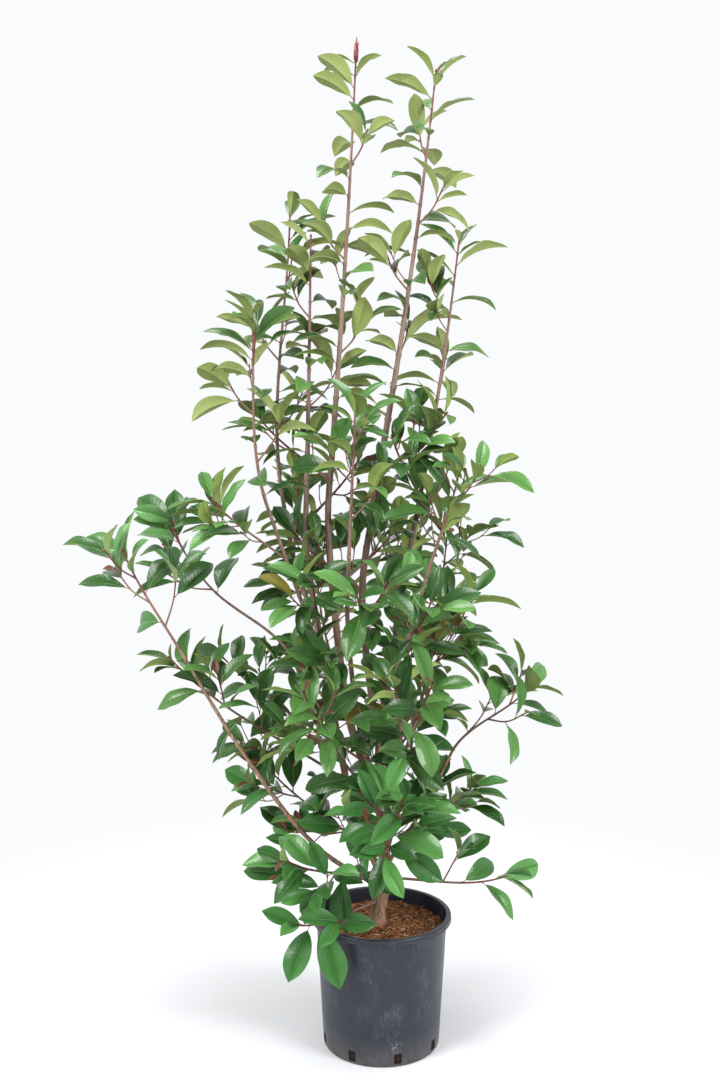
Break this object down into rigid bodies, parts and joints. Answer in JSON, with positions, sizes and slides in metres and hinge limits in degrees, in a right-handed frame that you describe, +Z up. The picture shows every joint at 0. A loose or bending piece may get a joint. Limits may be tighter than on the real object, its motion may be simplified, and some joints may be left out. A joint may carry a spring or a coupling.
{
  "type": "potted photinia shrub",
  "caption": "Evergreen shrub with several upright stems, open leafy sprays and glossy pointed leaves, standing in a round nursery pot.",
  "frame": {"origin": "centre of the pot's flat underside", "axes": "+Z up along the plant's height, -Y towards the front of the plant, +X to its right as seen from the front"},
  "size_m": [0.9708, 0.6522, 2.0412],
  "materials": {
    "pot": "satin slate grey moulded polypropylene, scuffed",
    "substrate": "loose red-brown peat and coir",
    "bark": "thin brown bark, smooth on young stems and flaking low down",
    "foliage": "glossy green leaves with matte pale undersides on red-brown twigs"
  },
  "bodies": {
    "root": {"back_left_bough": "bark", "back_right_bough": "bark", "foliage_back_left": "foliage", "foliage_back_low": "foliage", "foliage_back_right": "foliage", "foliage_front_left": "foliage", "foliage_front_low": "foliage", "foliage_front_right": "foliage", "foliage_left_back": "foliage", "foliage_left_foot": "foliage", "foliage_left_hanging": "foliage", "foliage_left_low": "foliage", "foliage_left_middle": "foliage", "foliage_left_upper": "foliage", "foliage_low_left": "foliage", "foliage_low_right": "foliage", "foliage_right_foot": "foliage", "foliage_right_low": "foliage", "foliage_right_middle": "foliage", "foliage_side_of_stem_a_1": "foliage", "foliage_side_of_stem_a_2": "foliage", "foliage_side_of_stem_a_3": "foliage", "foliage_side_of_stem_b_1": "foliage", "foliage_side_of_stem_b_2": "foliage", "foliage_side_of_stem_b_3": "foliage", "foliage_side_of_stem_c_1": "foliage", "foliage_side_of_stem_c_2": "foliage", "foliage_side_of_stem_c_3": "foliage", "foliage_side_of_stem_d_1": "foliage", "foliage_side_of_stem_e_1": "foliage", "foliage_side_of_stem_e_2": "foliage", "foliage_side_of_stem_e_3": "foliage", "foliage_side_of_stem_f_1": "foliage", "foliage_side_of_stem_g_1": "foliage", "foliage_side_of_stem_h_1": "foliage", "foliage_tall_a": "foliage", "foliage_tall_b": "foliage", "foliage_tall_c": "foliage", "foliage_tall_d": "foliage", "foliage_tall_e": "foliage", "foliage_tall_f": "foliage", "foliage_tall_g": "foliage", "foliage_tall_h": "foliage", "left_low_bough": "bark", "left_upper_bough": "bark", "pot": "pot", "right_low_bough": "bark", "stem_a": "bark", "stem_b": "bark", "stem_c": "bark", "stem_d": "bark", "stem_e": "bark", "stem_f": "bark", "stem_g": "bark", "stem_h": "bark", "substrate": "substrate", "trunk": "bark"}
  },
  "joints": []
}
